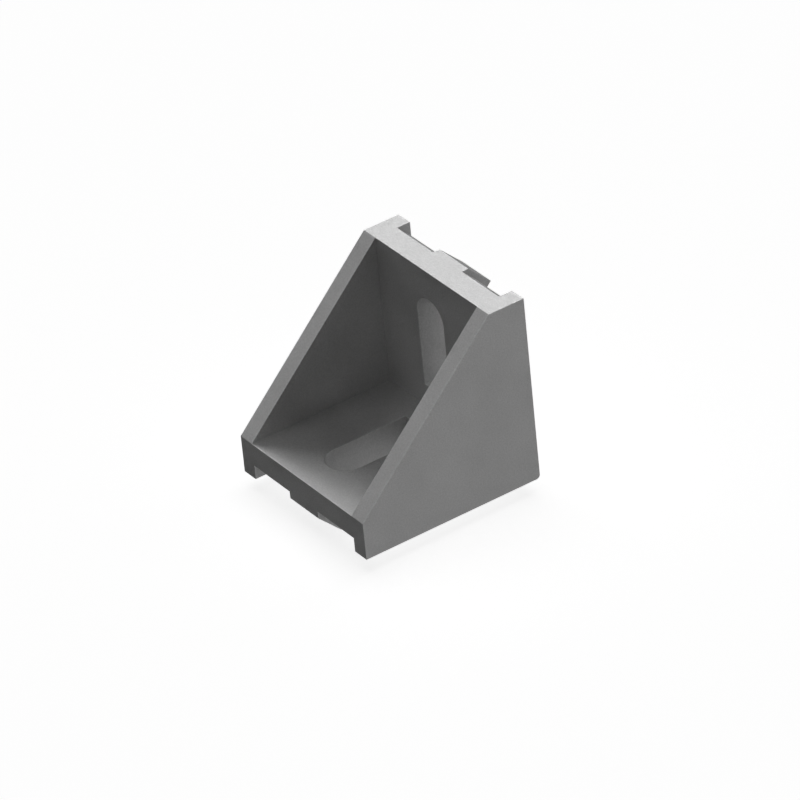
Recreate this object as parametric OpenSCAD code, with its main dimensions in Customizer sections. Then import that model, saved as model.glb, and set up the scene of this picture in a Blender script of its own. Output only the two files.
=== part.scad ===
// Corner bracket for slotted aluminium profiles: one casting with two equal
// legs at 90 degrees, two triangular side gussets, a slot in each leg, raised
// contact rims, and a locating key with a wedge near the tip of each leg.
// Origin: centre of the base leg's contact face. +Z up, -Y towards the tip of
// the base leg, +X across the width. Millimetres.

/* [Legs] */
// Overall width of the bracket, across both gussets
bracket_w = 43; // [34:1:60]
// Length of each leg, from the outer corner to its end face
leg_len = 43; // [40:1:60]
// Thickness of each leg, from its contact plane to its inner face
leg_h = 8.65; // [7:0.05:10]
// Radius of the outer corner where the two contact planes meet
heel_r = 0.9; // [0.3:0.1:2]

/* [Gussets] */
// Thickness of each triangular side gusset
gusset_t = 4; // [2.5:0.1:6]

/* [Contact rims] */
// Height of the rims above the middle of the outer face
rim_h = 0.3; // [0.1:0.05:0.8]
// Width of the bar that joins the rims at the corner
heel_bar = 4; // [2:0.5:6]

/* [End recess] */
// Depth of the recess in the leg's end face, below the contact plane
recess_h = 3.3; // [2:0.1:4]

/* [Slots] */
// Width of the slot in each leg
slot_w = 9; // [5:0.1:11]
// Distance from the contact corner to the square end of the slot
slot_in = 14; // [12:0.5:18]
// Distance from the contact corner to the centre of the slot's round end
slot_out = 31.65; // [26:0.05:32]
// How much further out than the slot's sides the round end reaches on each side
slot_bulge = 0.05; // [0:0.01:0.2]

/* [Locating key] */
// Width of the key
key_w = 9.9; // [6:0.1:12]
// Height of the key above the recess, at the leg's end face
key_step = 1.6; // [0.8:0.1:1.8]
// Height of the wedge's ridge above the contact plane
wedge_h = 3.45; // [1.5:0.05:4]

/* [Output] */
// Which node to draw

/* [Hidden] */
$fn = 96;
// Small overlap that keeps cutters clear of shared faces
e = 1;
half_w = bracket_w / 2;
inner_w = bracket_w - 2 * gusset_t;
// Position of the key's outer face at the end, measured out from the contact plane
key_y = key_step - recess_h;
// The wedge climbs at 45 degrees, so its ridge is this far from the leg's end
ridge_in = wedge_h - key_y;

// Draws a side profile, given as Y and Z, extruded across X and centred on X = 0
module across(w) {
    translate([-w / 2, 0, 0])
        rotate([90, 0, 90])
            linear_extrude(height = w)
                children();
}

// Puts a feature drawn for the upright leg on the base leg as well
module both_legs() {
    children();
    mirror([0, 1, 1])
        children();
}

// Side outline of the whole bracket: a right triangle with blunt tips and a
// rounded outer corner
module side_outline() {
    difference() {
        polygon([
            [0, 0],
            [0, leg_len],
            [-leg_h, leg_len],
            [-leg_len, leg_h],
            [-leg_len, 0]
        ]);
        translate([-heel_r, 0])
            difference() {
                translate([0, -e])
                    square([heel_r + e, heel_r + e]);
                translate([0, heel_r])
                    circle(r = heel_r);
            }
    }
}

// The open space between the gussets, above the base leg and in front of the
// upright leg
module pocket() {
    across(inner_w)
        polygon([
            [-leg_h, leg_h],
            [-leg_h, leg_len + e],
            [-leg_len - e, leg_len + e],
            [-leg_len - e, leg_h]
        ]);
}

// Recess between the rims at the tip of the upright leg: its floor starts
// below the contact plane and climbs at 45 degrees to the middle of the face
module end_recess() {
    across(inner_w)
        polygon([
            [-recess_h, leg_len + e],
            [-recess_h, leg_len],
            [-rim_h, leg_len - recess_h + rim_h],
            [e, leg_len - recess_h + rim_h],
            [e, leg_len + e]
        ]);
}

// Shallow field between the rims on the upright leg's outer face
module face_relief() {
    across(inner_w)
        polygon([
            [-rim_h, heel_bar],
            [-rim_h, leg_len],
            [e, leg_len],
            [e, heel_bar]
        ]);
}

// Slot through the upright leg: square towards the corner, round towards the
// tip, where the round end is slightly wider than the slot
module slot_cut() {
    rotate([90, 0, 0])
        translate([0, 0, -wedge_h - e])
            linear_extrude(height = wedge_h + leg_h + 2 * e)
                union() {
                    translate([-slot_w / 2, slot_in])
                        square([slot_w, slot_out - slot_in]);
                    translate([0, slot_out])
                        circle(d = slot_w + 2 * slot_bulge);
                }
}

// Key at the tip of the upright leg: flush with the end face, then a wedge
// that climbs out at 45 degrees past the contact plane and falls back at the
// same angle
module key() {
    across(key_w)
        polygon([
            [-recess_h - e, leg_len],
            [key_y, leg_len],
            [wedge_h, leg_len - ridge_in],
            [-rim_h - 0.2, leg_len - ridge_in - wedge_h - rim_h - 0.2],
            [-recess_h - e, leg_len - ridge_in - wedge_h - rim_h - 0.2]
        ]);
}

module bracket() {
    color([0.62, 0.63, 0.64])
        translate([0, leg_len / 2, 0])
            difference() {
                union() {
                    difference() {
                        across(bracket_w)
                            side_outline();
                        pocket();
                        both_legs()
                            end_recess();
                        both_legs()
                            face_relief();
                    }
                    both_legs()
                        key();
                }
                both_legs()
                    slot_cut();
            }
}

bracket();
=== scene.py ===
"""Die-cast corner bracket for slotted aluminium profiles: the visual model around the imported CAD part."""

import math

import bmesh
import bpy
from mathutils import Matrix, Vector


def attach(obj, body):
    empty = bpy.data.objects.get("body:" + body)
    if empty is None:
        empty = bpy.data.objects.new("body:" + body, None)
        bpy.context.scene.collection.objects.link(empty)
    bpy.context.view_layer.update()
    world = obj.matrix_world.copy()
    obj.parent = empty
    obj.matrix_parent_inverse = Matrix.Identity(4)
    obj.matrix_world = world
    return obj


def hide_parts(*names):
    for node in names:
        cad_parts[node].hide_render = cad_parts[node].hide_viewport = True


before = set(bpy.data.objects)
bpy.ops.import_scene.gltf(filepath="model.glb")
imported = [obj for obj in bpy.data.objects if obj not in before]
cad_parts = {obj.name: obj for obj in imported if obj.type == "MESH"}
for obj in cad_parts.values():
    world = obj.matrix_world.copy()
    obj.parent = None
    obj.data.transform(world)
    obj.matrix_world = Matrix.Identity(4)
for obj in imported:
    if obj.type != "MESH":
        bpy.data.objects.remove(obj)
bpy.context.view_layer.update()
scene = bpy.context.scene

# ---------------------------------------------------------------- sizes, in mm, as in the CAD source
BRACKET_W, LEG_LEN, LEG_H = 43.0, 43.0, 8.65
HEEL_R, GUSSET_T = 0.9, 4.0
RIM_H, HEEL_BAR, RECESS_H = 0.3, 4.0, 3.3
SLOT_W, SLOT_IN, SLOT_OUT, SLOT_BULGE = 9.0, 14.0, 31.65, 0.05
KEY_W, KEY_STEP, WEDGE_H = 9.9, 1.6, 3.45
INNER_W = BRACKET_W - 2 * GUSSET_T
KEY_Y = KEY_STEP - RECESS_H
RIDGE_IN = WEDGE_H - KEY_Y
HEEL_SEGMENTS, SLOT_SEGMENTS = 20, 54


# ---------------------------------------------------------------- mesh tools
def new_object(name, bm):
    mesh = bpy.data.meshes.new(name)
    bm.to_mesh(mesh)
    bm.free()
    ob = bpy.data.objects.new(name, mesh)
    scene.collection.objects.link(ob)
    return ob


def prism(name, outline, place, x0, x1):
    """A straight solid from x0 to x1 with an outline given as pairs; place(u, v, x) turns them into a point."""
    bm = bmesh.new()
    a = [bm.verts.new(place(u, v, x0)) for u, v in outline]
    b = [bm.verts.new(place(u, v, x1)) for u, v in outline]
    bm.faces.new(a)
    bm.faces.new(list(reversed(b)))
    n = len(outline)
    for i in range(n):
        j = (i + 1) % n
        bm.faces.new((a[j], a[i], b[i], b[j]))
    bmesh.ops.recalc_face_normals(bm, faces=bm.faces)
    return new_object(name, bm)


def upright(u, v, x):
    """u along Y and v along Z, extruded across the width."""
    return (x, u, v)


def swapped(u, v, x):
    """The same outline on the base leg, mirrored through the plane where the legs meet."""
    return (x, -v, -u)


def combine(body, tool, operation):
    m = body.modifiers.new("cut", "BOOLEAN")
    m.operation, m.solver, m.object = operation, "EXACT", tool
    dg = bpy.context.evaluated_depsgraph_get()
    mesh = bpy.data.meshes.new_from_object(body.evaluated_get(dg))
    old = body.data
    body.modifiers.clear()
    body.data = mesh
    bpy.data.meshes.remove(old)
    old = tool.data
    bpy.data.objects.remove(tool)
    bpy.data.meshes.remove(old)


def make_bracket():
    heel = [
        (-HEEL_R + HEEL_R * math.sin(a), HEEL_R - HEEL_R * math.cos(a))
        for a in (math.pi / 2 * i / HEEL_SEGMENTS for i in range(HEEL_SEGMENTS + 1))
    ]
    outline = heel + [(0, LEG_LEN), (-LEG_H, LEG_LEN), (-LEG_LEN, LEG_H), (-LEG_LEN, 0)]
    body = prism("bracket_casting", outline, upright, -BRACKET_W / 2, BRACKET_W / 2)
    pocket = [(-LEG_H, LEG_H), (-LEG_H, LEG_LEN + 1), (-LEG_LEN - 1, LEG_LEN + 1), (-LEG_LEN - 1, LEG_H)]
    combine(body, prism("pocket", pocket, upright, -INNER_W / 2, INNER_W / 2), "DIFFERENCE")
    relief = [
        (-RIM_H, HEEL_BAR), (-RIM_H, LEG_LEN - RECESS_H + RIM_H), (-RECESS_H, LEG_LEN),
        (-RECESS_H, LEG_LEN + 1), (1, LEG_LEN + 1), (1, HEEL_BAR),
    ]
    foot = LEG_LEN - RIDGE_IN - WEDGE_H - RIM_H - 0.2
    key = [
        (-RECESS_H - 1, LEG_LEN), (KEY_Y, LEG_LEN), (WEDGE_H, LEG_LEN - RIDGE_IN),
        (-RIM_H - 0.2, foot), (-RECESS_H - 1, foot),
    ]
    for place in (upright, swapped):
        combine(body, prism("relief", relief, place, -INNER_W / 2, INNER_W / 2), "DIFFERENCE")
    for place in (upright, swapped):
        combine(body, prism("key", key, place, -KEY_W / 2, KEY_W / 2), "UNION")
    half, r = SLOT_W / 2, SLOT_W / 2 + SLOT_BULGE
    low = math.acos(half / r)  # the round end is a little wider than the slot, so it starts below its own centre
    slot = [(-half, SLOT_IN), (half, SLOT_IN)] + [
        (r * math.cos(a), SLOT_OUT + r * math.sin(a))
        for a in ((math.pi + 2 * low) * i / SLOT_SEGMENTS - low for i in range(SLOT_SEGMENTS + 1))
    ]
    for place in (lambda u, v, y: (u, y, v), lambda u, v, y: (u, -v, -y)):
        combine(body, prism("slot", slot, place, -LEG_H - 1, WEDGE_H + 1), "DIFFERENCE")
    return body


def edge_radius(edge, widest):
    """Radius in mm that blasting leaves on an outer edge, or 0 where the surface is smooth or the corner is an inner one."""
    if edge.calc_face_angle_signed() < math.radians(25):
        return 0.0
    middle = (edge.verts[0].co + edge.verts[1].co) / 2
    on_face = middle.y > -RECESS_H - 0.1 or middle.z < RECESS_H + 0.1
    return 0.08 if on_face and abs(middle.x) < INNER_W / 2 + 0.01 else widest


def soften(body, widest=0.1):
    """Rounds each sharp edge by its own radius, and marks the faint crease where a slot's side meets its round end."""
    bm = bmesh.new()
    bm.from_mesh(body.data)
    bmesh.ops.remove_doubles(bm, verts=bm.verts, dist=1e-4)
    bmesh.ops.dissolve_limit(bm, angle_limit=math.radians(0.2), verts=bm.verts, edges=bm.edges)
    weight = bm.edges.layers.float.new("bevel_weight_edge")
    for edge in bm.edges:
        edge[weight] = edge_radius(edge, widest) / widest
        at_side = all(abs(abs(vert.co.x) - SLOT_W / 2) < 1e-3 for vert in edge.verts)
        edge.seam = at_side and math.radians(3) < edge.calc_face_angle(0) < math.radians(12)
    bm.to_mesh(body.data)
    bm.free()
    m = body.modifiers.new("edges", "BEVEL")
    m.limit_method, m.offset_type, m.width = "WEIGHT", "OFFSET", widest
    m.segments, m.profile, m.use_clamp_overlap = 3, 0.5, False
    m.miter_outer, m.miter_inner = "MITER_SHARP", "MITER_SHARP"
    mesh = bpy.data.meshes.new_from_object(body.evaluated_get(bpy.context.evaluated_depsgraph_get()))
    old = body.data
    body.modifiers.clear()
    body.data = mesh
    bpy.data.meshes.remove(old)
    mesh.name = body.name


def shade(mesh, crease=40):
    """Sets the normals: large faces stay flat, rounds turn evenly between them, and corners past the crease angle stay sharp."""
    bm = bmesh.new()
    bm.from_mesh(mesh)
    for face in bm.faces:
        face.smooth = True
    for edge in bm.edges:
        edge.smooth = edge.calc_face_angle(0) < math.radians(crease) and not edge.seam
    bm.faces.index_update()
    area = {face: face.calc_area() for face in bm.faces}
    normals = [None] * sum(len(face.verts) for face in bm.faces)
    start, count = {}, 0
    for face in bm.faces:
        start[face] = count
        count += len(face.verts)
    for vert in bm.verts:
        left = set(vert.link_faces)
        while left:
            group, reach = set(), [left.pop()]
            while reach:
                face = reach.pop()
                group.add(face)
                for edge in face.edges:
                    if edge.smooth and vert in edge.verts:
                        for other in edge.link_faces:
                            if other in left:
                                left.discard(other)
                                reach.append(other)
            total = Vector((0, 0, 0))
            for face in sorted(group, key=lambda f: f.index):
                total += face.normal * (area[face] * 1e6) ** 2
            for face in group:
                corner = next(i for i, loop in enumerate(face.loops) if loop.vert is vert)
                normals[start[face] + corner] = total.normalized()
    bm.to_mesh(mesh)
    bm.free()
    mesh.normals_split_custom_set(normals)


bracket = make_bracket()
soften(bracket)
bracket.data.transform(Matrix.Translation((0, LEG_LEN / 2 / 1000, 0)) @ Matrix.Scale(0.001, 4))
shade(bracket.data)

# ---------------------------------------------------------------- camera
camera = bpy.data.objects.new("camera", bpy.data.cameras.new("camera"))
scene.collection.objects.link(camera)
scene.camera = camera
camera.data.sensor_width = 36
camera.data.lens = 367.64
camera.data.clip_start, camera.data.clip_end = 0.05, 50
right = Vector((0.5778046, 0.8116508, -0.0858183)).normalized()
back = Vector((0.7087093, -0.4467923, 0.5459925))
back = (back - right * back.dot(right)).normalized()
up = back.cross(right)
turn = Matrix((right, up, back)).transposed().to_4x4()
camera.matrix_world = Matrix.Translation((1.16405, -0.7301269, 0.9131686)) @ turn

# ---------------------------------------------------------------- stage
LEVEL = -WEDGE_H / 1000  # the bracket stands on the wedge under its base leg
SHADE = 0.98
SHADOW = 0.2  # how far the floor darkens where the overhead light can't reach

bm = bmesh.new()
side = 6.0
bm.faces.new([bm.verts.new((x, y, LEVEL)) for x, y in ((-side, -side), (side, -side), (side, side), (-side, side))])
floor = new_object("floor", bm)
bm = bmesh.new()
bmesh.ops.create_icosphere(bm, subdivisions=5, radius=2.8)
backdrop = new_object("backdrop", bm)
for ob in (floor, backdrop):  # seen by the camera, and without an effect on the bracket's own light
    ob.visible_diffuse = ob.visible_glossy = ob.visible_transmission = False
    ob.visible_volume_scatter = ob.visible_shadow = False

pale = bpy.data.materials.new("pale_floor")
pale.use_nodes = True
shader = pale.node_tree.nodes["Principled BSDF"]
shader.inputs["Base Color"].default_value = (0.8, 0.8, 0.8, 1)
shader.inputs["Roughness"].default_value = 1.0
shader.inputs["Specular IOR Level"].default_value = 0.0
shader.inputs["Emission Color"].default_value = (1, 1, 1, 1)
shader.inputs["Emission Strength"].default_value = SHADE * (1 - SHADOW)
pale.cycles.emission_sampling = "NONE"
floor.data.materials.append(pale)

glow = bpy.data.materials.new("pale_backdrop")
glow.use_nodes = True
nodes, links = glow.node_tree.nodes, glow.node_tree.links
nodes.clear()
emission = nodes.new("ShaderNodeEmission")
emission.inputs["Color"].default_value = (1, 1, 1, 1)
emission.inputs["Strength"].default_value = SHADE
glow.cycles.emission_sampling = "NONE"
links.new(emission.outputs[0], nodes.new("ShaderNodeOutputMaterial").inputs["Surface"])
backdrop.data.materials.append(glow)

world = bpy.data.worlds.new("world")
scene.world = world
world.use_nodes = True
world.node_tree.nodes["Background"].inputs["Color"].default_value = (1, 1, 1, 1)
world.node_tree.nodes["Background"].inputs["Strength"].default_value = 0.007

# ---------------------------------------------------------------- lights
on_part = bpy.data.collections.new("lit_part")
on_part.objects.link(bracket)
on_floor = bpy.data.collections.new("lit_floor")
on_floor.objects.link(floor)


def soft_light(name, direction, strength, angle, receivers):
    """A distant soft light that shines from the direction given."""
    lamp = bpy.data.lights.new(name, "SUN")
    lamp.energy, lamp.angle = strength, math.radians(angle)
    ob = bpy.data.objects.new(name, lamp)
    scene.collection.objects.link(ob)
    ob.rotation_mode = "QUATERNION"
    ob.rotation_quaternion = Vector(direction).to_track_quat("Z", "Y")
    ob.light_linking.receiver_collection = receivers


STUDIO = [
    # from x, y, z, and strength
    (-0.89, 0.04, 0.45, 0.71),
    (-0.78, 0.55, 0.30, 0.63),
    (0.67, 0.56, 0.48, 0.54),
    (0.23, 0.73, 0.64, 0.54),
    (-0.48, 0.68, 0.55, 0.51),
    (-0.50, 0.41, -0.77, 0.43),
    (0.40, -0.22, -0.89, 0.37),
    (-0.50, -0.11, -0.86, 0.33),
    (0.31, -0.67, 0.67, 0.30),
    (-0.30, -0.57, 0.77, 0.27),
    (0.03, -0.39, 0.92, 0.25),
    (0.54, -0.84, 0.02, 0.23),
    (0.84, -0.26, -0.48, 0.21),
    (0.64, -0.64, 0.42, 0.20),
    (0.88, 0.46, 0.08, 0.20),
    (-0.17, 0.95, -0.27, 0.19),
    (-0.79, -0.61, -0.05, 0.14),
    (0.68, 0.03, -0.73, 0.11),
    (0.66, 0.73, -0.17, 0.10),
    (0.03, 0.74, -0.67, 0.09),
    (0.67, 0.47, -0.58, 0.09),
    (-0.12, 0.37, -0.92, 0.09),
    (0.34, 0.84, -0.42, 0.06),
    (-0.60, -0.72, 0.36, 0.06),
]
for number, (x, y, z, strength) in enumerate(STUDIO):
    soft_light(f"studio_{number:02d}", (x, y, z), strength, 36, on_part)
soft_light("overhead", (-0.1, 0.15, 1), SHADE * SHADOW * math.pi / 0.8 / 0.984, 60, on_floor)

# ---------------------------------------------------------------- cast aluminium
BASE, ROUGHNESS = 0.5, 0.5
mat = bpy.data.materials.new("cast_aluminium")
mat.use_nodes = True
nodes, links = mat.node_tree.nodes, mat.node_tree.links
shader = nodes["Principled BSDF"]
shader.inputs["Metallic"].default_value = 1.0
place = nodes.new("ShaderNodeTexCoord").outputs["Object"]


def field(size, detail, offset):
    """Noise around 0.5, with patches about as wide as the size in mm."""
    move = nodes.new("ShaderNodeVectorMath")
    move.operation = "ADD"
    move.inputs[1].default_value = (offset, offset * 0.7, offset * 0.4)
    links.new(place, move.inputs[0])
    noise = nodes.new("ShaderNodeTexNoise")
    noise.inputs["Scale"].default_value = 1000 / size
    noise.inputs["Detail"].default_value = detail
    noise.inputs["Roughness"].default_value = 0.55
    links.new(move.outputs[0], noise.inputs["Vector"])
    return noise.outputs[0]


def spread(value, low, high, start=0.25, end=0.75):
    """Turns a value from start to end into one from low to high."""
    node = nodes.new("ShaderNodeMapRange")
    node.inputs["From Min"].default_value, node.inputs["From Max"].default_value = start, end
    node.inputs["To Min"].default_value, node.inputs["To Max"].default_value = low, high
    links.new(value, node.inputs["Value"])
    return node.outputs[0]


def calc(operation, a, b):
    node = nodes.new("ShaderNodeMath")
    node.operation = operation
    for socket, value in zip(node.inputs, (a, b)):
        if isinstance(value, float):
            socket.default_value = value
        else:
            links.new(value, socket)
    return node.outputs[0]


mottle = field(9.0, 2, 0.031)  # faint clouds left by the casting
skin = field(1.3, 3, 0.017)  # slow unevenness of the cast skin
grain = field(0.34, 2, 0.005)  # blasted surface
fine = field(0.13, 1, 0.009)

# outer edges, found by short rays inside the metal, rubbed lighter in broken stretches
near_edge = nodes.new("ShaderNodeAmbientOcclusion")
near_edge.inside, near_edge.only_local, near_edge.samples = True, True, 6
near_edge.inputs["Distance"].default_value = 0.0006
edge = calc("SUBTRACT", 1.0, near_edge.outputs["AO"])
worn = spread(calc("MULTIPLY", edge, spread(field(0.9, 3, 0.043), 0.0, 2.0, 0.35, 0.65)), 0.0, 1.0, 0.05, 0.55)

# painted shade: inner corners and recesses, found by longer rays into the open, are darkened in the base colour
recess_shade = nodes.new("ShaderNodeAmbientOcclusion")
recess_shade.only_local, recess_shade.samples = True, 12
recess_shade.inputs["Distance"].default_value = 0.012

tone = calc("MULTIPLY", spread(mottle, 0.965, 1.035), spread(skin, 0.98, 1.02))
tone = calc("MULTIPLY", tone, spread(grain, 0.9, 1.1))
tone = calc("MULTIPLY", tone, spread(worn, 1.0, 1.07, 0.0, 1.0))
# painted shade: the base colour drops to 0.83 of itself in deep inner corners and recesses
tone = calc("MULTIPLY", tone, spread(recess_shade.outputs["AO"], 0.83, 1.0, 0.35, 0.75))
links.new(calc("MULTIPLY", tone, BASE), shader.inputs["Base Color"])

rough = calc("ADD", spread(skin, ROUGHNESS - 0.04, ROUGHNESS + 0.04), spread(mottle, -0.02, 0.02))
links.new(calc("SUBTRACT", rough, spread(worn, 0.0, 0.08, 0.0, 1.0)), shader.inputs["Roughness"])

height = calc("ADD", calc("MULTIPLY", grain, 20.0), calc("MULTIPLY", fine, 7.0))
height = calc("ADD", height, calc("MULTIPLY", skin, 50.0))
bump = nodes.new("ShaderNodeBump")
bump.inputs["Strength"].default_value = 1.0
bump.inputs["Distance"].default_value = 1e-6  # the height is in thousandths of a mm
links.new(height, bump.inputs["Height"])
links.new(bump.outputs["Normal"], shader.inputs["Normal"])
bracket.data.materials.clear()
bracket.data.materials.append(mat)

scene.view_settings.view_transform = "Standard"
scene.cycles.use_denoising = True

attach(bracket, "root")
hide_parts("bracket")
